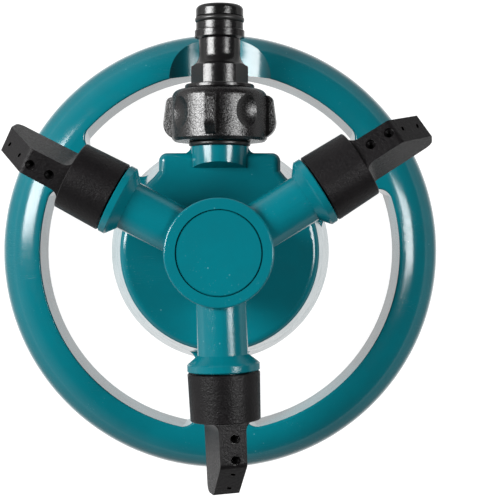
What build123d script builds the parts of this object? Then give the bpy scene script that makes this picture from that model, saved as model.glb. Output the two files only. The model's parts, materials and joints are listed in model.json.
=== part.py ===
"""Three-arm rotary lawn sprinkler with a ring base and a quick-connect hose nipple.

Millimetres. The origin is on the ground under the rotor's axis, +Z is up, and the
hose inlet points along +Y. Each piece is written to its own STEP file in parts/.
"""

import os
from math import cos, radians, sin

from build123d import *

# ---------------------------------------------------------------- driving dimensions

wall = 2.6  # moulded wall of the base

# Ring that stands on the ground: an open-bottomed channel bent into a circle
ring_outer_r = 81.3
ring_inner_r = 65.0  # inner wall at the ground
ring_edge_r = 65.6  # inner wall at its top, where the quarter-ellipse back starts
ring_top_z = 18.3
ring_skirt_z = 1.5  # the back ends in a short upright skirt
ring_edge_round = 0.6
saddle_r = 25.6  # clearance round the hose connector, cut across the ring

# Three spokes between ring and dome
spoke_angles = [30, 150, 270]
spoke_half_width = 8.7
spoke_corner_r = 5.0
spoke_edge_round = 0.9
spoke_overlap = 1.0  # how far the spokes run into the ring's back

# Dome in the middle
dome_foot_r = 41.1
dome_top_r = 34.5
plate_z = 40.0
plate_edge_round = 2.8
tab_half_width = 21.3
tab_front_y = 34.6
tab_side_y = 28.4  # the tab's straight sides end here
tab_root = (27.6, 20.6)  # where the tab's slanted sides meet the plate's circle

# Pedestal on the dome that carries the rotor
pedestal_foot_r = 16.2
pedestal_top_r = 12.8
pedestal_top_z = 56.0
sleeve_r = 8.8  # outside of the tube that the spindle stands in
boss_circle_r = 11.3  # screw bosses
boss_r = 2.9
boss_length = 9.0
screw_angles = [45, 135, 225, 315]
pilot_r = 1.5
pilot_depth = 8.0

# Inlet neck
inlet_z = 36.0
neck_r = 10.2
neck_bore_r = 6.8
neck_inner_y = 27.5
neck_end_y = 51.4
neck_root_r = 12.0  # the neck flares out where it meets the tab's front
neck_root_end_y = 36.7
neck_blind_y = 31.0  # the neck's bore stops here, and a smaller, lower hole goes on
duct_z = 32.4
duct_hole_r = 4.75
seal_start_y = 37.05
seal_width = 1.55
seal_groove_depth = 1.05
seal_stand_out = 0.65  # how far the seal stands out of its groove
bevel_y = 29.3  # where the neck's boss runs out on the plate
thread_pitch = 1.814  # 14 turns per inch, as on a half-inch pipe thread
thread_r = 10.4
thread_root_r = 9.35
thread_start_y = 40.8
thread_run_out = 2.2  # plain end of the neck beyond the thread

# Water way and its fixings under the dome
elbow_bottom_z = 24.0
elbow_r = 8.2
elbow_flange_r = 15.0
elbow_flange = 3.6
elbow_reach = 30.6  # how far the spigot runs into the dome's front wall
duct_r = 4.6
duct_bore_r = 3.2
gasket_z = 33.8
sump_z = 28.0  # the passage below the spindle goes down to here
duct_groove_y = 28.6
duct_groove_width = 1.4
duct_groove_r = 3.75
duct_seal_r = 0.47
screw_r = 1.45
screw_length = 11.0
screw_hole_r = 1.75
screw_head_r = 2.9
screw_head = 2.0
recess_length = 3.2
recess_width = 0.8
recess_depth = 1.2

# Rotor
rotor_rest_angle = 2.3
arm_angles = [spoke + rotor_rest_angle for spoke in spoke_angles]
arm_names = ["a", "b", "c"]
arm_z = 72.0
arm_r = 8.2
arm_bore_r = 5.0
hub_r = 17.6
hub_bottom_z = 57.0
hub_floor_z = 61.5
hub_top_z = 82.5
chamber_r = 12.6
cap_r = 13.7
cap_seat_r = 13.95
cap_depth = 3.0
cap_recess = 0.35  # the cap lies a little lower than the hub's rim
collar_r = 11.85
collar_cone_start = 33.0
collar_start = 35.5
collar_end = 38.2
spigot_r = 7.93
spigot_end = 51.5
spigot_groove = 44.0
spigot_groove_r = 6.15
spigot_groove_half = 1.05
spigot_seal_r = 0.89
snap_r = 8.5
snap_at = 49.4

# Spindle
stem_r = 6.0
stem_bore_r = 4.2
spindle_top_z = 67.5
spindle_flange_r = 8.0
spindle_flange_z = 35.0
running_gap = 0.06
thrust_washer_r = 11.0
nut_washer_r = 9.6
nut_washer = 0.9
rotor_nut_r = 9.2
rotor_nut_height = 4.4
shaft_seal_r = 0.9
shaft_seal_z = 59.2
shaft_groove_depth = 1.9
shaft_groove_half = 1.0

# Nozzles
socket_start = 38.55
socket_end = 54.2
socket_r = 11.8
socket_tip_r = 11.4
socket_bore_r = 8.0
blade_rolls = [20.0, 18.0, 16.0]  # turn of each blade about its arm at rest
blade_width = 9.2
blade_offset = -0.5  # the blade stands a little off the arm's axis
blade_top = 9.5
blade_bottom = -8.0
blade_slope_start = 68.0
blade_slope_drop = 10.4
blade_end = 78.4
blade_roof = 6.2  # top of the hollow in the blade
blade_floor = -5.6
jet_places = [59.2, 66.0]
jet_hole_r = 1.65
jet_offset = 0.18
slot_places = [70.9, 76.1]
slot_offset = -0.1

# Coupling nut and hose nipple
nut_start_y = 38.7
nut_end_y = 56.7
nut_wall = 1.5  # end wall that pulls on the nipple's collar
nut_r = 16.75
wing_foot_r = 15.25
wing_r = 19.9
wing_width = 3.7
wing_angles = [-10, 80, 170, 260]
scallop_angles = [35, 125, 215, 305]
scallop_ball_r = 11.5  # each scallop between the wings is cut by a ball
scallop_depth = 1.4
scallop_y = 48.2
nut_bore_r = 10.65
nut_ridge_r = 9.55
snap_collar_r = 9.3
shank_r = 8.2
nipple_bore_r = 4.75
disc_r = 12.2
grip_r = 10.0  # round body with four wrench flats
grip_flat = 8.83
grip_flat_angles = [62, 118, 242, 298]
nipple_end_y = 86.4
washer_thickness = 1.56
filter_thickness = 0.5

os.makedirs("parts", exist_ok=True)

# ---------------------------------------------------------------- shared planes and helpers

# A profile plane through the inlet's axis: local x runs along +Y, local y is the radius.
inlet_profile = Plane(origin=(0, 0, inlet_z), x_dir=(0, 1, 0), z_dir=(1, 0, 0))
inlet_axis = Axis((0, 0, inlet_z), (0, 1, 0))
# A profile plane through the rotor's axis: local x is the radius, local y is the height.
upright = Plane.XZ


def inlet_section(y):
    """A plane across the inlet at y: local x is up and local y is towards +X."""
    return Plane(origin=(0, y, inlet_z), x_dir=(0, 0, 1), z_dir=(0, 1, 0))


def arm_profile(angle):
    """A plane through an arm's axis: local x runs outwards and local y is up."""
    across = (sin(radians(angle)), -cos(radians(angle)), 0)
    outwards = (cos(radians(angle)), sin(radians(angle)), 0)
    return Plane(origin=(0, 0, arm_z), x_dir=outwards, z_dir=across)


def arm_axis(angle):
    """The axis of an arm."""
    return Axis((0, 0, arm_z), (cos(radians(angle)), sin(radians(angle)), 0))


def arm_section(angle, radius):
    """A plane across an arm at a radius: local x is up and local y is clockwise from above."""
    outwards = Vector(cos(radians(angle)), sin(radians(angle)), 0)
    return Plane(origin=outwards * radius + Vector(0, 0, arm_z), x_dir=(0, 0, 1), z_dir=outwards)


def write(part, label):
    """Label a finished piece and write its STEP file."""
    part.label = label
    export_step(part, f"parts/{label}.step")


def thread_ridge(root_r, crest_r, start_y, length, root_width, crest_width, turn=0):
    """One helical ridge about the inlet's axis, from root_r to crest_r."""
    start = inlet_section(start_y)
    path = Helix(thread_pitch, length, root_r, direction=(0, 0, 1), mode=Mode.PRIVATE)
    section = Plane(origin=path @ 0, x_dir=(1, 0, 0), z_dir=path % 0)
    with BuildSketch(section, mode=Mode.PRIVATE) as profile:
        with BuildLine():
            Polyline(
                (0, -root_width / 2),
                (crest_r - root_r, -crest_width / 2),
                (crest_r - root_r, crest_width / 2),
                (0, root_width / 2),
                close=True,
            )
        make_face()
    ridge = sweep(profile.sketch, path, is_frenet=True, mode=Mode.PRIVATE)
    return start.location * Rotation(0, 0, turn) * ridge


# ---------------------------------------------------------------- base ring

def ring_outline(inset):
    """The ring channel's cross-section, or its hollow when inset is the wall's thickness."""
    back_width = ring_outer_r - ring_edge_r - inset
    back_height = ring_top_z - ring_skirt_z - inset
    wall_foot = ring_inner_r + inset
    wall_top = ring_edge_r + inset
    with BuildSketch() as outline:
        with BuildLine():
            EllipticalCenterArc(
                (ring_edge_r, ring_skirt_z), back_width, back_height, start_angle=0, arc_size=90
            )
            Polyline(
                (ring_edge_r, ring_skirt_z + back_height),
                (ring_edge_r, 0),
                (ring_edge_r + back_width, 0),
                (ring_edge_r + back_width, ring_skirt_z),
            )
        make_face()
        if inset > 0:
            with BuildLine():
                Polyline(
                    (ring_edge_r - 1, 0),
                    (wall_foot, 0),
                    (wall_top, ring_top_z),
                    (ring_edge_r - 1, ring_top_z),
                    close=True,
                )
            make_face(mode=Mode.SUBTRACT)
        else:
            with BuildLine():
                Polyline((wall_foot, 0), (wall_top, 0), (wall_top, ring_top_z), close=True)
            make_face()
            inner_edge = outline.vertices().group_by(Axis.Y)[-1]
            fillet(inner_edge, ring_edge_round)
    return outline.sketch_local


def spoke_outline(inset):
    """Plan of the three spokes with a narrow band in the ring and a disc under the dome."""
    dome_r = dome_foot_r - (dome_foot_r - dome_top_r) * ring_top_z / plate_z
    with BuildSketch() as outline:
        if inset == 0:
            Circle(ring_edge_r + spoke_overlap)
            Circle(ring_edge_r, mode=Mode.SUBTRACT)
        Circle(dome_r - inset)
        with PolarLocations((ring_edge_r + dome_r) / 2, 3, start_angle=spoke_angles[0]):
            Rectangle(ring_edge_r - dome_r + 8, 2 * (spoke_half_width - inset))
        if inset == 0:
            Circle(ring_edge_r + spoke_overlap, mode=Mode.INTERSECT)
    return outline.sketch_local


def front_trim(inset):
    """Plan of what is cut away before the tab's flat front, between dome and ring."""
    with BuildSketch() as outline:
        with Locations((0, tab_front_y - inset)):
            Rectangle(dome_foot_r, 10, align=(Align.CENTER, Align.MIN))
    return outline.sketch_local


def tab_outline(inset):
    """Plan of the tab that carries the inlet neck at the front of the dome."""
    half = tab_half_width - inset
    root_x = tab_root[0] - inset
    with BuildSketch() as outline:
        with BuildLine():
            Polyline(
                (-root_x, tab_root[1]),
                (-half, tab_side_y),
                (-half, tab_front_y - inset),
                (half, tab_front_y - inset),
                (half, tab_side_y),
                (root_x, tab_root[1]),
                close=True,
            )
        make_face()
    return outline.sketch_local


with BuildPart() as spokes:
    with BuildSketch() as spoke_plan:
        add(spoke_outline(0))
        sector_corners = [
            v
            for v in spoke_plan.vertices()
            if 30 < Vector(v.X, v.Y, 0).length < ring_edge_r + spoke_overlap / 2
        ]
        fillet(sector_corners, spoke_corner_r)
    extrude(amount=ring_top_z)
    with BuildSketch():
        add(front_trim(0))
    extrude(amount=ring_top_z, mode=Mode.SUBTRACT)
    top_edges = spokes.edges().group_by(Axis.Z)[-1]
    fillet(top_edges.filter_by(lambda e: e.length < 2 * ring_edge_r), spoke_edge_round)

with BuildPart() as spoke_hollows:
    with BuildSketch():
        add(spoke_outline(wall))
        add(front_trim(wall), mode=Mode.SUBTRACT)
    extrude(amount=ring_top_z - wall)

with BuildPart() as dome:
    with BuildSketch(upright):
        with BuildLine():
            Polyline((0, 0), (dome_foot_r, 0), (dome_top_r, plate_z), (0, plate_z), close=True)
        make_face()
    revolve(axis=Axis.Z)
    with BuildSketch() as tab_plan:
        add(tab_outline(0))
        front_corners = tab_plan.vertices().group_by(Axis.Y)[-1]
        fillet(front_corners, 3.0)
    extrude(amount=plate_z)
    with BuildSketch(Plane.XZ.offset(-tab_front_y)):
        Rectangle(2 * dome_foot_r, 3 * plate_z)
    extrude(amount=-dome_foot_r, mode=Mode.SUBTRACT)
    fillet(dome.faces().sort_by(Axis.Z)[-1].outer_wire().edges(), plate_edge_round)

with BuildPart() as dome_hollow:
    with BuildSketch(upright):
        with BuildLine():
            Polyline(
                (0, 0),
                (dome_foot_r - wall, 0),
                (dome_top_r - wall, plate_z - wall),
                (0, plate_z - wall),
                close=True,
            )
        make_face()
    revolve(axis=Axis.Z)
    with BuildSketch():
        add(tab_outline(wall))
    extrude(amount=plate_z - wall)
    with BuildSketch(Plane.XZ.offset(-(tab_front_y - wall))):
        Rectangle(2 * dome_foot_r, 3 * plate_z)
    extrude(amount=-dome_foot_r, mode=Mode.SUBTRACT)

with BuildPart() as channel_hollow:
    with BuildSketch(upright):
        add(ring_outline(wall))
    revolve(axis=Axis.Z)
    with BuildSketch(inlet_section(0)):
        Circle(saddle_r + wall)
    extrude(amount=ring_outer_r, mode=Mode.SUBTRACT)

with BuildPart() as pedestal:
    with BuildSketch(upright):
        with BuildLine():
            Polyline(
                (0, plate_z - wall),
                (pedestal_foot_r, plate_z - wall),
                (pedestal_foot_r, plate_z),
                (pedestal_top_r, pedestal_top_z),
                (0, pedestal_top_z),
                close=True,
            )
        make_face()
    revolve(axis=Axis.Z)
    fillet(pedestal.faces().sort_by(Axis.Z)[-1].edges(), 0.8)

with BuildPart() as pedestal_hollow:
    with BuildSketch(upright):
        with BuildLine():
            Polyline(
                (sleeve_r, plate_z - wall),
                (pedestal_foot_r - wall, plate_z - wall),
                (pedestal_foot_r - wall, plate_z),
                (pedestal_top_r - wall, pedestal_top_z - wall),
                (sleeve_r, pedestal_top_z - wall),
                close=True,
            )
        make_face()
    revolve(axis=Axis.Z)
    with BuildSketch(Plane.XY.offset(plate_z - wall)):
        with PolarLocations(boss_circle_r, 4, start_angle=screw_angles[0]):
            Circle(boss_r)
    extrude(amount=boss_length, mode=Mode.SUBTRACT)

with BuildPart() as neck:
    with BuildSketch(inlet_profile):
        with BuildLine():
            Polyline(
                (neck_inner_y, 0),
                (neck_inner_y, neck_r),
                (seal_start_y - 0.25, neck_r),
                (seal_start_y - 0.05, neck_r - seal_groove_depth),
                (seal_start_y + seal_width + 0.05, neck_r - seal_groove_depth),
                (seal_start_y + seal_width + 0.25, thread_root_r),
                (neck_end_y - 0.6, thread_root_r),
                (neck_end_y, thread_root_r - 0.6),
                (neck_end_y, 0),
                close=True,
            )
        make_face()
    revolve(axis=inlet_axis)
    add(
        thread_ridge(
            thread_root_r - 0.08,
            thread_r,
            thread_start_y,
            neck_end_y - thread_start_y - thread_run_out,
            root_width=1.15,
            crest_width=0.35,
        )
    )

with BuildPart() as neck_root:
    with BuildSketch(inlet_profile):
        with BuildLine():
            Polyline(
                (neck_root_end_y, neck_r),
                (neck_root_end_y, neck_r - 1),
                (tab_front_y - 1, neck_r - 1),
                (tab_front_y - 1, neck_root_r),
                (tab_front_y, neck_root_r),
            )
            ThreePointArc(
                (tab_front_y, neck_root_r),
                (tab_front_y + 0.75, neck_r + 0.6),
                (neck_root_end_y, neck_r),
            )
        make_face()
    revolve(axis=inlet_axis)
    with BuildSketch(Plane.XY.offset(plate_z - plate_edge_round)):
        Rectangle(4 * neck_root_r, 2 * tab_front_y + 8 * neck_root_r)
    extrude(amount=2 * neck_r, mode=Mode.SUBTRACT)

with BuildPart() as base_ring:
    with BuildSketch(upright):
        add(ring_outline(0))
    revolve(axis=Axis.Z)
    add(spokes.part)
    add(dome.part)
    add(pedestal.part)
    # The saddle keeps the hose connector clear of the ring.
    with BuildSketch(inlet_section(dome_foot_r)):
        Circle(saddle_r)
    extrude(amount=ring_outer_r, mode=Mode.SUBTRACT)
    add(channel_hollow.part, mode=Mode.SUBTRACT)
    add(spoke_hollows.part, mode=Mode.SUBTRACT)
    add(dome_hollow.part, mode=Mode.SUBTRACT)
    add(pedestal_hollow.part, mode=Mode.SUBTRACT)
    add(neck.part)
    add(neck_root.part)
    # Bevelled inner end of the neck's boss above the plate.
    with BuildSketch(Plane.YZ):
        with BuildLine():
            Polyline(
                (neck_inner_y - 3, plate_z),
                (bevel_y, plate_z),
                (bevel_y + 2.2, inlet_z + neck_r + 1),
                (neck_inner_y - 3, inlet_z + neck_r + 1),
                close=True,
            )
        make_face()
    extrude(amount=neck_r + 1, both=True, mode=Mode.SUBTRACT)
    # Water way: wide bore in the neck, then a lower hole into the dome.
    with BuildSketch(inlet_section(neck_blind_y)):
        Circle(neck_bore_r)
    extrude(amount=neck_end_y - neck_blind_y, mode=Mode.SUBTRACT)
    with BuildSketch(Plane(origin=(0, neck_inner_y, duct_z), x_dir=(0, 0, 1), z_dir=(0, 1, 0))):
        Circle(duct_hole_r)
    extrude(amount=neck_blind_y - neck_inner_y, mode=Mode.SUBTRACT)
    # Bore for the spindle and pilot holes for the screws.
    with BuildSketch(Plane.XY.offset(plate_z - wall)):
        Circle(stem_r + 0.15)
    extrude(amount=pedestal_top_z, mode=Mode.SUBTRACT)
    with BuildSketch(Plane.XY.offset(plate_z - wall)):
        with PolarLocations(boss_circle_r, 4, start_angle=screw_angles[0]):
            Circle(pilot_r)
    extrude(amount=pilot_depth, mode=Mode.SUBTRACT)
write(base_ring.part, "base_ring")

# ---------------------------------------------------------------- water way under the dome

with BuildPart() as neck_seal_ring:
    with BuildSketch(inlet_profile):
        with BuildLine():
            Polyline(
                (seal_start_y, neck_r - seal_groove_depth + 0.03),
                (seal_start_y + seal_width, neck_r - seal_groove_depth + 0.03),
                (seal_start_y + seal_width, neck_r + seal_stand_out),
                (seal_start_y, neck_r + seal_stand_out),
                close=True,
            )
        make_face()
    revolve(axis=inlet_axis)
    rims = neck_seal_ring.edges().filter_by(lambda e: e.length > 2 * 3.14 * neck_r)
    fillet(rims, 0.6)
write(neck_seal_ring.part, "neck_seal_ring")

elbow_top_z = plate_z - wall
flange_z = elbow_top_z - elbow_flange
duct_section = Plane(origin=(0, 0, duct_z), x_dir=(0, 0, 1), z_dir=(0, 1, 0))
with BuildPart() as water_elbow:
    with BuildSketch(Plane.XY.offset(elbow_bottom_z)):
        Circle(elbow_r)
    extrude(amount=elbow_top_z - elbow_bottom_z)
    fillet(water_elbow.faces().sort_by(Axis.Z)[0].edges(), 2.0)
    with BuildSketch(Plane.XY.offset(flange_z)):
        Circle(elbow_flange_r)
    extrude(amount=elbow_flange)
    with BuildSketch(duct_section):
        Circle(duct_r)
    extrude(amount=elbow_reach)
    # Counterbore for the spindle's flange and its gasket, and the passage below.
    with BuildSketch(Plane.XY.offset(gasket_z)):
        Circle(spindle_flange_r + 0.15)
    extrude(amount=elbow_top_z - gasket_z, mode=Mode.SUBTRACT)
    with BuildSketch(Plane.XY.offset(sump_z)):
        Circle(stem_bore_r)
    extrude(amount=gasket_z - sump_z + 0.2, mode=Mode.SUBTRACT)
    with BuildSketch(duct_section):
        Circle(duct_bore_r)
    extrude(amount=elbow_reach + 1, mode=Mode.SUBTRACT)
    # O-ring groove on the spigot.
    with BuildSketch(duct_section.offset(duct_groove_y)):
        Circle(duct_r + 0.4)
        Circle(duct_groove_r, mode=Mode.SUBTRACT)
    extrude(amount=duct_groove_width, mode=Mode.SUBTRACT)
    with BuildSketch(Plane.XY.offset(flange_z)):
        with PolarLocations(boss_circle_r, 4, start_angle=screw_angles[0]):
            Circle(screw_hole_r)
    extrude(amount=elbow_flange, mode=Mode.SUBTRACT)
write(water_elbow.part, "water_elbow")

with BuildPart() as elbow_o_ring:
    with BuildSketch(Plane(origin=(0, 0, duct_z), x_dir=(0, 1, 0), z_dir=(1, 0, 0))):
        with Locations((duct_groove_y + duct_groove_width / 2, duct_groove_r + duct_seal_r + 0.02)):
            Circle(duct_seal_r)
    revolve(axis=Axis((0, 0, duct_z), (0, 1, 0)))
write(elbow_o_ring.part, "elbow_o_ring")

with BuildPart() as spindle_gasket:
    with BuildSketch(Plane.XY.offset(gasket_z)):
        Circle(spindle_flange_r)
        Circle(stem_bore_r + 0.3, mode=Mode.SUBTRACT)
    extrude(amount=spindle_flange_z - gasket_z)
write(spindle_gasket.part, "spindle_gasket")

with BuildPart() as elbow_screws:
    with PolarLocations(boss_circle_r, 4, start_angle=screw_angles[0]):
        with Locations((0, 0, flange_z)):
            Cylinder(screw_r, screw_length, align=(Align.CENTER, Align.CENTER, Align.MIN))
            Cylinder(screw_head_r, screw_head, align=(Align.CENTER, Align.CENTER, Align.MAX))
    screw_heads = elbow_screws.faces().group_by(Axis.Z)[0]
    fillet(screw_heads.edges(), 0.7)
    # Cross recess in each head.
    with BuildSketch(Plane.XY.offset(flange_z - screw_head)):
        with PolarLocations(boss_circle_r, 4, start_angle=screw_angles[0]):
            Rectangle(recess_length, recess_width)
            Rectangle(recess_width, recess_length)
    extrude(amount=recess_depth, mode=Mode.SUBTRACT)
write(elbow_screws.part, "elbow_screws")

with BuildPart() as spindle:
    with BuildSketch(upright):
        with BuildLine():
            Polyline(
                (stem_bore_r, spindle_flange_z),
                (spindle_flange_r, spindle_flange_z),
                (spindle_flange_r, elbow_top_z - 0.02),
                (stem_r, elbow_top_z - 0.02),
                (stem_r, spindle_top_z - 0.7),
                (stem_r - 0.7, spindle_top_z),
                (stem_bore_r, spindle_top_z),
                close=True,
            )
        make_face()
    revolve(axis=Axis.Z)
write(spindle.part, "spindle")

# ---------------------------------------------------------------- rotor bearings

with BuildPart() as lower_thrust_washer:
    with BuildSketch(Plane.XY.offset(pedestal_top_z)):
        Circle(thrust_washer_r)
        Circle(stem_r + 0.1, mode=Mode.SUBTRACT)
    extrude(amount=hub_bottom_z - pedestal_top_z - 0.02)
write(lower_thrust_washer.part, "lower_thrust_washer")

with BuildPart() as upper_thrust_washer:
    with BuildSketch(Plane.XY.offset(hub_floor_z + 0.02)):
        Circle(nut_washer_r)
        Circle(stem_r + 0.1, mode=Mode.SUBTRACT)
    extrude(amount=nut_washer)
write(upper_thrust_washer.part, "upper_thrust_washer")

with BuildPart() as rotor_nut:
    with BuildSketch(Plane.XY.offset(hub_floor_z + nut_washer + 0.04)):
        RegularPolygon(rotor_nut_r, 6)
        Circle(stem_r + 0.02, mode=Mode.SUBTRACT)
    extrude(amount=rotor_nut_height)
    chamfer(rotor_nut.faces().sort_by(Axis.Z)[-1].outer_wire().edges(), 0.5)
write(rotor_nut.part, "rotor_nut")

with BuildPart() as rotor_seal:
    with BuildSketch(upright):
        with Locations((stem_r + shaft_seal_r + 0.08, shaft_seal_z)):
            Circle(shaft_seal_r)
    revolve(axis=Axis.Z)
write(rotor_seal.part, "rotor_seal")

# ---------------------------------------------------------------- rotor hub with its arms

with BuildPart() as rotor_hub:
    with BuildSketch(upright):
        with BuildLine():
            Polyline(
                (0, hub_bottom_z),
                (hub_r - 1.2, hub_bottom_z),
                (hub_r, hub_bottom_z + 1.2),
                (hub_r, hub_top_z),
                (0, hub_top_z),
                close=True,
            )
        make_face()
    revolve(axis=Axis.Z)
    fillet(rotor_hub.faces().sort_by(Axis.Z)[-1].edges(), 0.7)
    for angle in arm_angles:
        with BuildSketch(arm_profile(angle)):
            with BuildLine():
                Polyline(
                    (0, 0),
                    (0, arm_r),
                    (collar_cone_start, arm_r),
                    (collar_start, collar_r - 0.5),
                    (collar_start + 0.5, collar_r),
                    (collar_end - 0.3, collar_r),
                    (collar_end, collar_r - 0.3),
                    (collar_end, spigot_r),
                    (spigot_groove - spigot_groove_half, spigot_r),
                    (spigot_groove - spigot_groove_half, spigot_groove_r),
                    (spigot_groove + spigot_groove_half, spigot_groove_r),
                    (spigot_groove + spigot_groove_half, spigot_r),
                    (snap_at, spigot_r),
                    (snap_at + 0.4, snap_r),
                    (snap_at + 0.9, snap_r),
                    (spigot_end, spigot_r - 0.8),
                    (spigot_end, 0),
                    close=True,
                )
            make_face()
        revolve(axis=arm_axis(angle))
    # Water chamber, cap seat and bearing bore with its seal groove.
    with BuildSketch(upright):
        with BuildLine():
            Polyline(
                (0, hub_bottom_z),
                (stem_r + running_gap, hub_bottom_z),
                (stem_r + running_gap, shaft_seal_z - shaft_groove_half),
                (stem_r + shaft_groove_depth, shaft_seal_z - shaft_groove_half),
                (stem_r + shaft_groove_depth, shaft_seal_z + shaft_groove_half),
                (stem_r + running_gap, shaft_seal_z + shaft_groove_half),
                (stem_r + running_gap, hub_floor_z),
                (chamber_r, hub_floor_z),
                (chamber_r, hub_top_z - cap_depth),
                (cap_seat_r, hub_top_z - cap_depth),
                (cap_seat_r, hub_top_z),
                (0, hub_top_z),
                close=True,
            )
        make_face()
    revolve(axis=Axis.Z, mode=Mode.SUBTRACT)
    for angle in arm_angles:
        with BuildSketch(arm_section(angle, chamber_r - 2)):
            Circle(arm_bore_r)
        extrude(amount=spigot_end, mode=Mode.SUBTRACT)
write(rotor_hub.part, "rotor_hub")

with BuildPart() as hub_cap:
    with BuildSketch(Plane.XY.offset(hub_top_z - cap_depth)):
        Circle(cap_r)
    extrude(amount=cap_depth - cap_recess)
    chamfer(hub_cap.faces().sort_by(Axis.Z)[-1].edges(), 0.3)
    with BuildSketch(Plane.XY.offset(hub_top_z - cap_depth - 2.0)):
        Circle(chamber_r - 0.1)
        Circle(chamber_r - 2.0, mode=Mode.SUBTRACT)
    extrude(amount=2.0)
write(hub_cap.part, "hub_cap")

# ---------------------------------------------------------------- nozzles


def blade_side_plane(angle, roll):
    """A plane along an arm in the rolled blade's own frame: local y is the blade's top."""
    across = Vector(sin(radians(angle)), -cos(radians(angle)), 0)
    outwards = Vector(cos(radians(angle)), sin(radians(angle)), 0)
    side = across * cos(radians(roll)) + Vector(0, 0, sin(radians(roll)))
    return Plane(origin=(0, 0, arm_z), x_dir=outwards, z_dir=side)


def blade_top_plane(angle, roll, height):
    """A plane across the blade's top direction: local x runs outwards."""
    side = blade_side_plane(angle, roll)
    return Plane(origin=side.origin + side.y_dir * height, x_dir=side.x_dir, z_dir=side.y_dir)


def blade_plan_outline():
    """The blade from its top: narrow, with flared roots at the socket."""
    half = blade_width / 2
    root = socket_end - 0.6
    with BuildSketch() as outline:
        with BuildLine():
            Polyline(
                (socket_end - 4, blade_offset - half - 4),
                (root, blade_offset - half - 4),
                (root, blade_offset - half),
                (blade_end + 1, blade_offset - half + 0.25),
                (blade_end + 1, blade_offset + half - 0.25),
                (root, blade_offset + half),
                (root, blade_offset + half + 4),
                (socket_end - 4, blade_offset + half + 4),
                close=True,
            )
        make_face()
        inner_corners = [
            v
            for v in outline.vertices()
            if abs(v.X - root) < 0.1 and abs(abs(v.Y - blade_offset) - half) < 0.1
        ]
        fillet(inner_corners, 3.4)
    return outline.sketch_local


def blade_side_outline():
    """The blade from its side: a flat top that slopes down to a blunt tip."""
    slope_end = (blade_end, blade_top - blade_slope_drop)
    with BuildSketch() as outline:
        with BuildLine():
            Polyline(
                (socket_end - 3, blade_bottom),
                (socket_end - 3, blade_top),
                (blade_slope_start, blade_top),
                slope_end,
                (blade_end - 0.2, blade_bottom),
                close=True,
            )
        make_face()
        fillet(outline.vertices().sort_by_distance((blade_slope_start, blade_top, 0))[0], 2.5)
        fillet(outline.vertices().sort_by_distance((*slope_end, 0))[0], 0.7)
        fillet(outline.vertices().sort_by_distance((blade_end, blade_bottom, 0))[0], 2.6)
    return outline.sketch_local


def make_nozzle(angle, roll):
    """A nozzle end: a socket that turns on the arm's spigot, and a flat blade with its jets."""
    with BuildPart() as nozzle:
        with BuildSketch(blade_side_plane(angle, roll)):
            add(blade_side_outline())
        extrude(amount=socket_tip_r, both=True)
        with BuildSketch(blade_top_plane(angle, roll, -socket_r)):
            add(blade_plan_outline())
        extrude(amount=2 * socket_r, mode=Mode.INTERSECT)
        with BuildSketch(arm_section(angle, socket_end - 4)):
            Circle(socket_tip_r)
        extrude(amount=blade_end, mode=Mode.INTERSECT)
        # Socket, with a slight draft.
        with BuildSketch(arm_profile(angle)):
            with BuildLine():
                Polyline(
                    (socket_start + 0.2, 0),
                    (socket_start + 0.2, socket_r - 0.2),
                    (socket_start + 0.4, socket_r),
                    (socket_end - 0.3, socket_tip_r),
                    (socket_end, socket_tip_r - 0.3),
                    (socket_end, 0),
                    close=True,
                )
            make_face()
        revolve(axis=arm_axis(angle))
        # Stepped bore with the groove for the spigot's snap ridge.
        with BuildSketch(arm_profile(angle)):
            with BuildLine():
                Polyline(
                    (socket_start, 0),
                    (socket_start, socket_bore_r),
                    (snap_at - 0.2, socket_bore_r),
                    (snap_at + 0.2, snap_r + 0.15),
                    (snap_at + 1.2, snap_r + 0.15),
                    (spigot_end + 0.2, socket_bore_r),
                    (spigot_end + 0.3, 0),
                    close=True,
                )
            make_face()
        revolve(axis=arm_axis(angle), mode=Mode.SUBTRACT)
        # Hollow in the blade that feeds the jets.
        hollow_middle = blade_side_plane(angle, roll).offset(-blade_offset)
        with BuildSketch(hollow_middle):
            with BuildLine():
                Polyline(
                    (spigot_end, blade_floor),
                    (spigot_end, blade_roof),
                    (blade_slope_start - 1.0, blade_roof),
                    (blade_end - 1.8, blade_floor + 2.6),
                    (blade_end - 1.8, blade_floor),
                    close=True,
                )
            make_face()
        extrude(amount=2.4, both=True, mode=Mode.SUBTRACT)
        # Jet holes and slots through the top of the blade.
        with BuildSketch(blade_top_plane(angle, roll, blade_roof - 1.0)):
            with Locations(*[(place, jet_offset) for place in jet_places]):
                Circle(jet_hole_r)
        extrude(amount=blade_top, mode=Mode.SUBTRACT)
        with BuildSketch(blade_top_plane(angle, roll, blade_floor + 1.4)):
            with Locations(*[(place, slot_offset) for place in slot_places]):
                SlotOverall(1.6, 0.7, rotation=75)
        extrude(amount=2 * blade_top, mode=Mode.SUBTRACT)
    return nozzle.part


def make_jets(angle, roll):
    """The two pressed-in jet bushes of one nozzle."""
    seat = blade_top_plane(angle, roll, blade_roof)
    mouth = blade_top_plane(angle, roll, blade_roof + 2.5)
    with BuildPart() as jets:
        with BuildSketch(seat):
            with Locations(*[(place, jet_offset) for place in jet_places]):
                Circle(jet_hole_r)
        extrude(amount=2.5)
        with BuildSketch(seat):
            with Locations(*[(place, jet_offset) for place in jet_places]):
                Circle(0.6)
        extrude(amount=2.5, mode=Mode.SUBTRACT)
        for place in jet_places:
            cone_centre = mouth.origin + mouth.x_dir * place + mouth.y_dir * jet_offset
            with Locations(Plane(cone_centre, x_dir=mouth.x_dir, z_dir=mouth.z_dir)):
                Cone(
                    0.6,
                    1.35,
                    1.3,
                    align=(Align.CENTER, Align.CENTER, Align.MAX),
                    mode=Mode.SUBTRACT,
                )
    return jets.part


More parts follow.
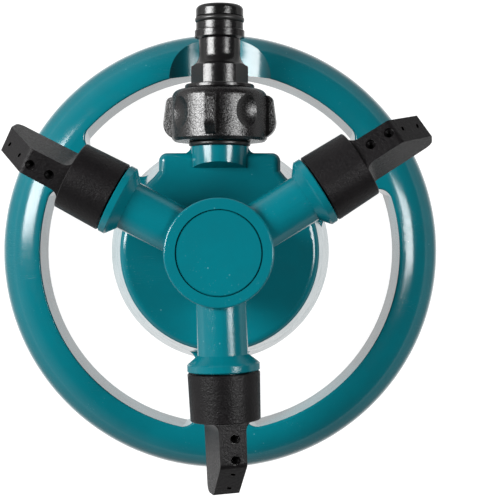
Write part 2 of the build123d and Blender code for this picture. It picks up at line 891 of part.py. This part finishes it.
def make_nozzle_seal(angle):
    """The O-ring in the groove of one spigot."""
    with BuildPart() as seal:
        with BuildSketch(arm_profile(angle)):
            with Locations((spigot_groove, spigot_groove_r + spigot_seal_r + 0.01)):
                Circle(spigot_seal_r)
        revolve(axis=arm_axis(angle))
    return seal.part


for letter, angle, roll in zip(arm_names, arm_angles, blade_rolls):
    write(make_nozzle(angle, roll), f"nozzle_{letter}")
    write(make_jets(angle, roll), f"nozzle_jets_{letter}")
    write(make_nozzle_seal(angle), f"nozzle_o_ring_{letter}")

# ---------------------------------------------------------------- coupling nut

with BuildPart() as wing:
    # A grip wing that stands up from the nut; its copies are turned about the inlet.
    with BuildSketch(inlet_profile):
        with BuildLine():
            Line((39.9, wing_foot_r), (39.9, nut_r - 0.4))
            ThreePointArc((39.9, nut_r - 0.4), (42.2, wing_r - 0.75), (45.9, wing_r))
            Line((45.9, wing_r), (52.6, wing_r - 0.9))
            ThreePointArc((52.6, wing_r - 0.9), (53.8, wing_r - 1.5), (54.4, nut_r - 0.3))
            Polyline((54.4, nut_r - 0.3), (54.4, wing_foot_r), (39.9, wing_foot_r))
        make_face()
    extrude(amount=wing_width / 2, both=True)
    above_foot = wing.edges().filter_by(lambda e: e.center().Z > inlet_z + wing_foot_r + 0.1)
    fillet(above_foot.filter_by(lambda e: abs(e.center().X) > wing_width / 4), 0.4)

with BuildPart() as coupling_nut:
    with BuildSketch(inlet_profile):
        with BuildLine():
            Polyline(
                (nut_start_y, 0),
                (nut_start_y, nut_r - 0.9),
                (nut_start_y + 0.9, nut_r),
                (nut_end_y, nut_r),
                (nut_end_y, 0),
                close=True,
            )
        make_face()
    revolve(axis=inlet_axis)
    fillet(coupling_nut.faces().sort_by(Axis.Y)[-1].edges(), 3.0)
    for angle in wing_angles:
        add(wing.part.rotate(inlet_axis, angle))
    for angle in scallop_angles:
        reach = nut_r - scallop_depth + scallop_ball_r
        place = (reach * sin(radians(angle)), scallop_y, inlet_z + reach * cos(radians(angle)))
        with Locations(place):
            Sphere(scallop_ball_r, mode=Mode.SUBTRACT)
    # Threaded bore, the shoulder that pulls on the nipple, and the hole for its shank.
    with BuildSketch(inlet_section(nut_start_y)):
        Circle(nut_bore_r)
    extrude(amount=nut_end_y - nut_wall - nut_start_y, mode=Mode.SUBTRACT)
    with BuildSketch(inlet_section(nut_end_y - nut_wall)):
        Circle(shank_r + running_gap)
    extrude(amount=nut_wall, mode=Mode.SUBTRACT)
    add(
        thread_ridge(
            nut_bore_r + 0.1,
            nut_ridge_r,
            thread_start_y,
            neck_end_y - thread_start_y - thread_run_out,
            root_width=0.95,
            crest_width=0.3,
            turn=180,
        )
    )
write(coupling_nut.part, "coupling_nut")

# ---------------------------------------------------------------- hose nipple and its seals

washer_y = neck_end_y + 0.02
filter_y = neck_end_y + 0.04 + washer_thickness
snap_collar_y = filter_y + filter_thickness
collar_face_y = nut_end_y - nut_wall - 0.03
disc_start_y = nut_end_y + 0.3
grip_start_y = 58.5
grip_end_y = 65.2
o_ring_y = 81.35
o_ring_r = 7.6
o_ring_thickness_r = 1.1
with BuildPart() as hose_nipple:
    with BuildSketch(inlet_profile):
        with BuildLine():
            Polyline(
                (grip_start_y, 0),
                (grip_start_y, grip_r),
                (grip_end_y - 0.3, grip_r),
                (grip_end_y, grip_r - 0.3),
                (grip_end_y, 9.4),
            )
            ThreePointArc((grip_end_y, 9.4), (66.7, 7.95), (69.4, 7.3))
            Polyline(
                (69.4, 7.3),
                (74.4, 7.3),
                (75.1, 8.8),
                (77.4, 8.8),
                (77.7, 8.5),
                (77.7, 8.05),
                (78.0, 8.05),
                (78.0, 8.3),
                (80.2, 8.3),
                (80.2, 6.45),
                (82.5, 6.45),
                (82.5, 8.35),
                (84.9, 8.35),
            )
            ThreePointArc((84.9, 8.35), (85.95, 7.75), (nipple_end_y, 6.6))
            Polyline((nipple_end_y, 6.6), (nipple_end_y, 0), (grip_start_y, 0))
        make_face()
    revolve(axis=inlet_axis)
    with BuildSketch(inlet_section(grip_start_y)):
        Circle(grip_r)
        for angle in grip_flat_angles:
            middle = grip_flat + 5
            place = (middle * cos(radians(angle)), middle * sin(radians(angle)), 0)
            with Locations(Location(place, (0, 0, angle))):
                Rectangle(10, 2 * grip_r, mode=Mode.SUBTRACT)
    extrude(amount=nipple_end_y, mode=Mode.INTERSECT)
    # Disc outside the nut, shank through it and snap collar inside it.
    with BuildSketch(inlet_profile):
        with BuildLine():
            Polyline(
                (snap_collar_y, 0),
                (snap_collar_y, snap_collar_r),
                (collar_face_y, snap_collar_r),
                (collar_face_y, shank_r),
                (disc_start_y, shank_r),
                (disc_start_y, disc_r - 0.3),
                (disc_start_y + 0.3, disc_r),
                (grip_start_y - 0.3, disc_r),
                (grip_start_y, disc_r - 0.3),
                (grip_start_y, 0),
                close=True,
            )
        make_face()
    revolve(axis=inlet_axis)
    with BuildSketch(inlet_section(neck_end_y)):
        Circle(nipple_bore_r)
    extrude(amount=nipple_end_y, mode=Mode.SUBTRACT)
    mouth_edge = hose_nipple.edges().group_by(Axis.Y)[-1].sort_by(SortBy.LENGTH)[0]
    chamfer(mouth_edge, 0.7)
write(hose_nipple.part, "hose_nipple")

with BuildPart() as nipple_o_ring:
    with BuildSketch(inlet_profile):
        with Locations((o_ring_y, o_ring_r)):
            Circle(o_ring_thickness_r)
    revolve(axis=inlet_axis)
write(nipple_o_ring.part, "nipple_o_ring")

with BuildPart() as inlet_washer:
    with BuildSketch(inlet_section(washer_y)):
        Circle(snap_collar_r - 0.1)
        Circle(5.2, mode=Mode.SUBTRACT)
    extrude(amount=washer_thickness)
write(inlet_washer.part, "inlet_washer")

with BuildPart() as filter_screen:
    with BuildSketch(inlet_section(filter_y)):
        Circle(snap_collar_r - 0.1)
        with GridLocations(1.35, 1.35, 7, 7) as grid:
            mesh_holes = [place for place in grid if place.position.length < 4.6]
        with Locations(*mesh_holes):
            Rectangle(0.95, 0.95, mode=Mode.SUBTRACT)
    extrude(amount=filter_thickness)
write(filter_screen.part, "filter_screen")
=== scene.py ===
"""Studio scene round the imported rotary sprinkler: materials, floor, light and camera."""

import json
from math import cos, radians, sin

import bpy
from mathutils import Matrix, Vector

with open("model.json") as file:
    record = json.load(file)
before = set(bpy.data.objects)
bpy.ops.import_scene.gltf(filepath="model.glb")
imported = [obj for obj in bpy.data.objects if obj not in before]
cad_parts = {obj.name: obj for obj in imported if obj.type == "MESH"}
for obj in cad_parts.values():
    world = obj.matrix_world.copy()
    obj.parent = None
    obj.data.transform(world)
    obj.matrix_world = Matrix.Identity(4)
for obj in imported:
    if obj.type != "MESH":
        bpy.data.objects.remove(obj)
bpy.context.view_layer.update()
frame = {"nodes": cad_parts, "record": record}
scene = bpy.context.scene
nodes = frame["nodes"]

# Lengths are metres, noise and spot scales are cells per metre, and colours are linear with alpha.

teal_base = (0.0006, 0.125, 0.156, 1)
teal_light = (0.0006, 0.140, 0.174, 1)
teal_dark = (0.0005, 0.106, 0.133, 1)
teal_dust = (0.10, 0.30, 0.33, 1)
gloss_black = (0.003, 0.003, 0.0032, 1)
gloss_black_warm = (0.006, 0.005, 0.0055, 1)
satin_black = (0.0035, 0.003, 0.0034, 1)
satin_black_warm = (0.006, 0.005, 0.0056, 1)
black_dust = (0.08, 0.075, 0.078, 1)
rubber_black = (0.008, 0.008, 0.008, 1)
rubber_dusty = (0.02, 0.019, 0.019, 1)
acetal_white = (0.80, 0.79, 0.74, 1)
acetal_cloudy = (0.74, 0.72, 0.66, 1)
steel_dark = (0.58, 0.58, 0.56, 1)
steel_light = (0.68, 0.68, 0.69, 1)
white = (1, 1, 1, 1)

floor_half = 3.0
floor_drop = 0.0002
# Between these distances from the rotor's axis the floor turns from its painted shadow near the object to
# its plain far look.
painted_shadow_inner = 0.06
painted_shadow_outer = 0.50
floor_card_dark = (0.24, 0.24, 0.24, 1)
floor_card_light = (0.27, 0.27, 0.27, 1)
floor_card_painted_shadow = (0.16, 0.16, 0.16, 1)

lamp_target = Vector((0, 0, 0.04))
lamp_distance = 1.1

camera_place = (0.0030, 0.0044, 0.500)
camera_sensor_mm = 36.0
camera_lens_mm = 95.3
camera_shift_x = 0.0337
camera_shift_y = -0.0206
camera_clip_start = 0.01


# ---------------------------------------------------------------- node helpers


class Tree:
    """A short way to write the nodes of a material or of the world."""

    def __init__(self, tree):
        self.tree = tree
        self.tree.nodes.clear()

    def add(self, kind, inputs=None, **settings):
        """A new node; each input is a plain value or another node's output."""
        node = self.tree.nodes.new(kind)
        for key, value in settings.items():
            setattr(node, key, value)
        for key, value in (inputs or {}).items():
            if isinstance(value, bpy.types.NodeSocket):
                self.tree.links.new(value, node.inputs[key])
            else:
                node.inputs[key].default_value = value
        return node

    def math(self, operation, a, b=0.0):
        return self.add("ShaderNodeMath", {0: a, 1: b}, operation=operation).outputs[0]

    def plus(self, a, b):
        return self.math("ADD", a, b)

    def minus(self, a, b):
        return self.math("SUBTRACT", a, b)

    def times(self, a, b):
        return self.math("MULTIPLY", a, b)

    def place(self):
        """Object coordinates, which are metres in the row frame."""
        return self.add("ShaderNodeTexCoord").outputs["Object"]

    def noise(self, scale, detail, roughness=0.5, vector=None):
        inputs = {
            "Scale": scale,
            "Detail": detail,
            "Roughness": roughness,
            "Vector": vector or self.place(),
        }
        return self.add("ShaderNodeTexNoise", inputs).outputs["Fac"]

    def spots(self, scale, radius, soft):
        """1 inside a round spot in each cell, 0 outside; radius and soft edge are in cells."""
        inputs = {"Scale": scale, "Vector": self.place()}
        cells = self.add("ShaderNodeTexVoronoi", inputs, feature="F1")
        return self.step(cells.outputs["Distance"], radius, radius - soft)

    def step(self, value, low, high):
        """A smooth step from 0 at low to 1 at high; high may be the smaller one."""
        inputs = {"Value": value, "From Min": low, "From Max": high}
        return self.add("ShaderNodeMapRange", inputs, interpolation_type="SMOOTHSTEP").outputs[0]

    def mix(self, factor, a, b):
        return self.add("ShaderNodeMix", {0: factor, 6: a, 7: b}, data_type="RGBA").outputs[2]

    def bump(self, height, distance, strength, under=None):
        """A bumped normal, on top of another one if under is given."""
        inputs = {"Height": height, "Distance": distance, "Strength": strength}
        if under is not None:
            inputs["Normal"] = under
        return self.add("ShaderNodeBump", inputs).outputs[0]

    def surface(self, color, roughness, normal, constants):
        """The shader and output that end a material; the constants are set on the shader's own sockets."""
        inputs = {"Base Color": color, "Roughness": roughness, "Normal": normal, **constants}
        shader = self.add("ShaderNodeBsdfPrincipled", inputs)
        self.add("ShaderNodeOutputMaterial", {"Surface": shader.outputs[0]})


def new_material(name):
    made = bpy.data.materials.new(name)
    made.use_nodes = True
    return made, Tree(made.node_tree)


# ---------------------------------------------------------------- materials


def teal_plastic(name, grain_depth):
    """Glossy moulded teal with faint flow clouds, fine grain, dust specks, pits and hairline scratches."""
    made, tree = new_material(name)
    clouds = tree.step(tree.noise(scale=22.0, detail=4.0, roughness=0.55), low=0.35, high=0.7)
    flow = tree.step(tree.noise(scale=140.0, detail=5.0, roughness=0.6), low=0.3, high=0.75)
    clouded = tree.mix(clouds, teal_base, teal_light)
    streak_share = 0.35
    streaked = tree.mix(tree.times(flow, streak_share), clouded, teal_dark)

    # Sparse pale dust specks, smaller and larger, each kind only in some patches.
    fine_patches = tree.step(tree.noise(scale=60.0, detail=2.0), low=0.52, high=0.66)
    fine = tree.times(tree.spots(scale=900.0, radius=0.16, soft=0.08), fine_patches)
    large_patches = tree.step(tree.noise(scale=45.0, detail=2.0), low=0.5, high=0.6)
    large = tree.times(tree.spots(scale=260.0, radius=0.085, soft=0.04), large_patches)
    fine_share = 0.45
    large_share = 0.6
    specks = tree.math("MAXIMUM", tree.times(fine, fine_share), tree.times(large, large_share))
    color = tree.mix(specks, streaked, teal_dust)

    # Hairline scratches: thin bands of a stretched noise, kept in a few patches.
    stretch = {"Vector": tree.place(), "Scale": (60.0, 900.0, 300.0), "Rotation": (0, 0, 0.6)}
    stretched = tree.add("ShaderNodeMapping", stretch).outputs[0]
    hair = tree.noise(scale=1.0, detail=1.0, roughness=0.4, vector=stretched)
    middle = 0.5
    off_band = tree.math("ABSOLUTE", tree.minus(hair, middle))
    band = tree.minus(1.0, tree.step(off_band, low=0.0, high=0.012))
    scratch = tree.times(band, tree.step(tree.noise(scale=35.0, detail=1.0), low=0.56, high=0.66))

    polished = 0.13
    flow_dulling = 0.06
    scratch_dulling = 0.15
    flow_roughness = tree.plus(polished, tree.times(flow, flow_dulling))
    roughness = tree.plus(flow_roughness, tree.times(scratch, scratch_dulling))

    # Soft swells with pits and scratches, over the moulded grain.
    swell_height = 0.35
    pit_depth = 0.5
    scratch_depth = 0.4
    swells = tree.times(tree.noise(scale=380.0, detail=3.0, roughness=0.55), swell_height)
    pits = tree.times(tree.spots(scale=700.0, radius=0.14, soft=0.08), pit_depth)
    height = tree.minus(tree.minus(swells, pits), tree.times(scratch, scratch_depth))
    grain = tree.noise(scale=1500.0, detail=3.0, roughness=0.6)
    skin = tree.bump(grain, distance=grain_depth, strength=0.6)
    normal = tree.bump(height, distance=0.00003, strength=0.5, under=skin)
    tree.surface(color, roughness, normal, {"IOR": 1.45})
    return made


def black_plastic(name, base, warm, rough_low, rough_high, grain_scale, grain_depth, sheen):
    """Black moulded plastic with a fine granular skin, faint warm clouds and sparse dust."""
    made, tree = new_material(name)
    clouds = tree.step(tree.noise(scale=90.0, detail=4.0, roughness=0.6), low=0.35, high=0.7)
    dust_patches = tree.step(tree.noise(scale=110.0, detail=2.0), low=0.55, high=0.68)
    dust = tree.times(tree.spots(scale=1500.0, radius=0.14, soft=0.06), dust_patches)
    dust_share = 0.25
    color = tree.mix(tree.times(dust, dust_share), tree.mix(clouds, base, warm), black_dust)

    coarse_scale = grain_scale * 0.45
    grain_height = 0.6
    grain = tree.noise(grain_scale, detail=3.0, roughness=0.65)
    coarse_grain = tree.noise(coarse_scale, detail=2.0)
    spread = rough_high - rough_low
    roughness = tree.plus(rough_low, tree.times(tree.step(grain, low=0.35, high=0.65), spread))
    height = tree.plus(tree.times(grain, grain_height), tree.times(coarse_grain, grain_height))
    normal = tree.bump(height, distance=grain_depth, strength=0.6)
    tree.surface(color, roughness, normal, {"IOR": 1.5, "Specular IOR Level": sheen})
    return made


def rubber_material():
    """Smooth black rubber, a little dusty."""
    made, tree = new_material("rubber_look")
    dusty = tree.step(tree.noise(scale=160.0, detail=4.0, roughness=0.6), low=0.4, high=0.75)
    color = tree.mix(dusty, rubber_black, rubber_dusty)
    clean_roughness = 0.32
    dust_dulling = 0.15
    roughness = tree.plus(clean_roughness, tree.times(dusty, dust_dulling))
    normal = tree.bump(tree.noise(scale=1800.0, detail=2.0), distance=0.00002, strength=0.5)
    tree.surface(color, roughness, normal, {"IOR": 1.52})
    return made


def acetal_material():
    """Natural white acetal with faint clouds."""
    made, tree = new_material("acetal_look")
    cloudy = tree.step(tree.noise(scale=120.0, detail=3.0), low=0.35, high=0.7)
    color = tree.mix(cloudy, acetal_white, acetal_cloudy)
    clear_roughness = 0.34
    cloud_dulling = 0.1
    roughness = tree.plus(clear_roughness, tree.times(cloudy, cloud_dulling))
    normal = tree.bump(tree.noise(scale=900.0, detail=2.0), distance=0.00002, strength=0.4)
    tree.surface(color, roughness, normal, {"IOR": 1.48})
    return made


def steel_material():
    """Zinc-plated steel with a fine spangle."""
    made, tree = new_material("screw_steel_look")
    spangle = tree.noise(scale=700.0, detail=4.0, roughness=0.6)
    color = tree.mix(tree.step(spangle, low=0.35, high=0.65), steel_dark, steel_light)
    bright_roughness = 0.25
    spangle_dulling = 0.2
    roughness = tree.plus(bright_roughness, tree.times(spangle, spangle_dulling))
    normal = tree.bump(spangle, distance=0.00002, strength=0.5)
    tree.surface(color, roughness, normal, {"Metallic": 1.0})
    return made


teal = teal_plastic("teal_look", grain_depth=0.00001)
teal_rotor = teal_plastic("teal_rotor_look", grain_depth=0.0001)
nut_gloss = black_plastic(
    "nut_look",
    base=gloss_black,
    warm=gloss_black_warm,
    rough_low=0.17,
    rough_high=0.32,
    grain_scale=2100.0,
    grain_depth=0.00024,
    sheen=0.6,
)
gloss = black_plastic(
    "black_gloss_look",
    base=gloss_black,
    warm=gloss_black_warm,
    rough_low=0.17,
    rough_high=0.26,
    grain_scale=1700.0,
    grain_depth=0.00012,
    sheen=0.5,
)
satin = black_plastic(
    "black_satin_look",
    base=satin_black,
    warm=satin_black_warm,
    rough_low=0.34,
    rough_high=0.48,
    grain_scale=1900.0,
    grain_depth=0.0003,
    sheen=0.2,
)

look_of_slot = {
    "teal_abs": teal,
    "black_gloss": gloss,
    "black_satin": satin,
    "rubber": rubber_material(),
    "white_acetal": acetal_material(),
    "screw_steel": steel_material(),
}
# The nut and the rotor have a coarser moulded skin than the other pieces of their colour.
look_of_node = {"coupling_nut": nut_gloss, "rotor_hub": teal_rotor}
for part in frame["record"]["subparts"]:
    name = part["node"]
    look = look_of_node.get(name, look_of_slot[part["material_slot"]])
    mesh = nodes[name].data
    mesh.materials.clear()
    mesh.materials.append(look)


# ---------------------------------------------------------------- floor


def floor_material():
    """Paper, white seen from straight above, pale grey seen from the side, with a painted shadow that
    darkens it near the object.
    """
    made, tree = new_material("studio_floor_look")
    flat = tree.add("ShaderNodeVectorMath", {0: tree.place(), 1: (1, 1, 0)}, operation="MULTIPLY")
    reach = tree.add("ShaderNodeVectorMath", {0: flat.outputs[0]}, operation="LENGTH")
    # away runs from 0 inside the painted shadow round the object to 1 far from it.
    away = tree.step(reach.outputs["Value"], painted_shadow_inner, painted_shadow_outer)
    paper = tree.mix(tree.noise(scale=8.0, detail=3.0), floor_card_dark, floor_card_light)
    # A grey card, which the lamps light and the shadows fall on; near the object its colour is darkened
    # further by a painted shadow.
    card = tree.add("ShaderNodeBsdfDiffuse", {"Color": tree.mix(away, floor_card_painted_shadow, paper)})
    # A white glow. A view from the side loses most of it near the object, which paints a shadow round it,
    # and under half far away.
    painted_shadow_glow_loss = 0.85
    painted_shadow_fade = 0.42
    # The loss is larger near the object: a painted shadow in the glow.
    loss = tree.minus(painted_shadow_glow_loss, tree.times(away, painted_shadow_fade))
    slant = tree.add("ShaderNodeLayerWeight", {"Blend": 0.5}).outputs["Facing"]
    level = tree.minus(1.0, tree.times(tree.step(slant, low=0.035, high=0.38), loss))
    glow = tree.add("ShaderNodeEmission", {"Color": white, "Strength": level})
    both = tree.add("ShaderNodeAddShader", {0: card.outputs[0], 1: glow.outputs[0]})
    tree.add("ShaderNodeOutputMaterial", {"Surface": both.outputs[0]})
    return made


corner_signs = ((-1, -1), (1, -1), (1, 1), (-1, 1))
floor_corners = [(x * floor_half, y * floor_half, 0) for x, y in corner_signs]
floor_mesh = bpy.data.meshes.new("studio_floor")
floor_mesh.from_pydata(floor_corners, [], [(0, 1, 2, 3)])
floor_mesh.materials.append(floor_material())
floor = bpy.data.objects.new("studio_floor", floor_mesh)
scene.collection.objects.link(floor)
floor.location.z = -floor_drop


# ---------------------------------------------------------------- light


def studio_world():
    """A dim studio, darkest overhead, with a brighter wall towards -X and pale at and below the horizon."""
    world = bpy.data.worlds.new("studio")
    world.use_nodes = True
    tree = Tree(world.node_tree)
    direction = tree.add("ShaderNodeTexCoord").outputs["Generated"]
    across, _, height = tree.add("ShaderNodeSeparateXYZ", {0: direction}).outputs
    ceiling_glow = 0.05
    wall_glow = 0.03
    bright_wall_glow = 0.45
    horizon_glow = 0.35
    low_down = tree.step(height, low=0.75, high=0.1)
    bright_side = tree.step(across, low=0.1, high=-0.75)
    wall = tree.plus(wall_glow, tree.times(bright_side, bright_wall_glow))
    horizon = tree.times(tree.step(height, low=0.06, high=-0.02), horizon_glow)
    level = tree.plus(tree.plus(ceiling_glow, tree.times(low_down, wall)), horizon)
    sky = tree.add("ShaderNodeBackground", {"Color": white, "Strength": level})
    tree.add("ShaderNodeOutputWorld", {"Surface": sky.outputs[0]})
    return world


def softbox(name, lean, forward, width, length, power):
    """A rectangular lamp aimed at the object.

    It stands lean degrees from the vertical towards +X, and forward is its share of +Y.
    Its length runs along Y.
    """
    data = bpy.data.lights.new(name, "AREA")
    data.shape = "RECTANGLE"
    data.size = width
    data.size_y = length
    data.energy = power
    away = Vector((sin(radians(lean)), forward, cos(radians(lean)))).normalized()
    side = (-away).cross(Vector((0, 1, 0))).normalized()
    turn = Matrix((side, side.cross(-away), away)).transposed().to_4x4()
    turn.translation = lamp_target + away * lamp_distance
    lamp = bpy.data.objects.new(name, data)
    scene.collection.objects.link(lamp)
    lamp.matrix_world = turn


scene.world = studio_world()
softbox("softbox_left", lean=-51, forward=0.24, width=0.65, length=0.40, power=19.6)
softbox("softbox_right", lean=40, forward=0.06, width=0.40, length=0.32, power=8.2)


# ---------------------------------------------------------------- camera

# It looks straight down, and its shift places the sprinkler in the frame.
camera_data = bpy.data.cameras.new("camera")
camera_data.sensor_width = camera_sensor_mm
camera_data.lens = camera_lens_mm
camera_data.shift_x = camera_shift_x
camera_data.shift_y = camera_shift_y
camera_data.clip_start = camera_clip_start
camera = bpy.data.objects.new("camera", camera_data)
camera.location = camera_place
scene.collection.objects.link(camera)
scene.camera = camera

scene.view_settings.view_transform = "Standard"
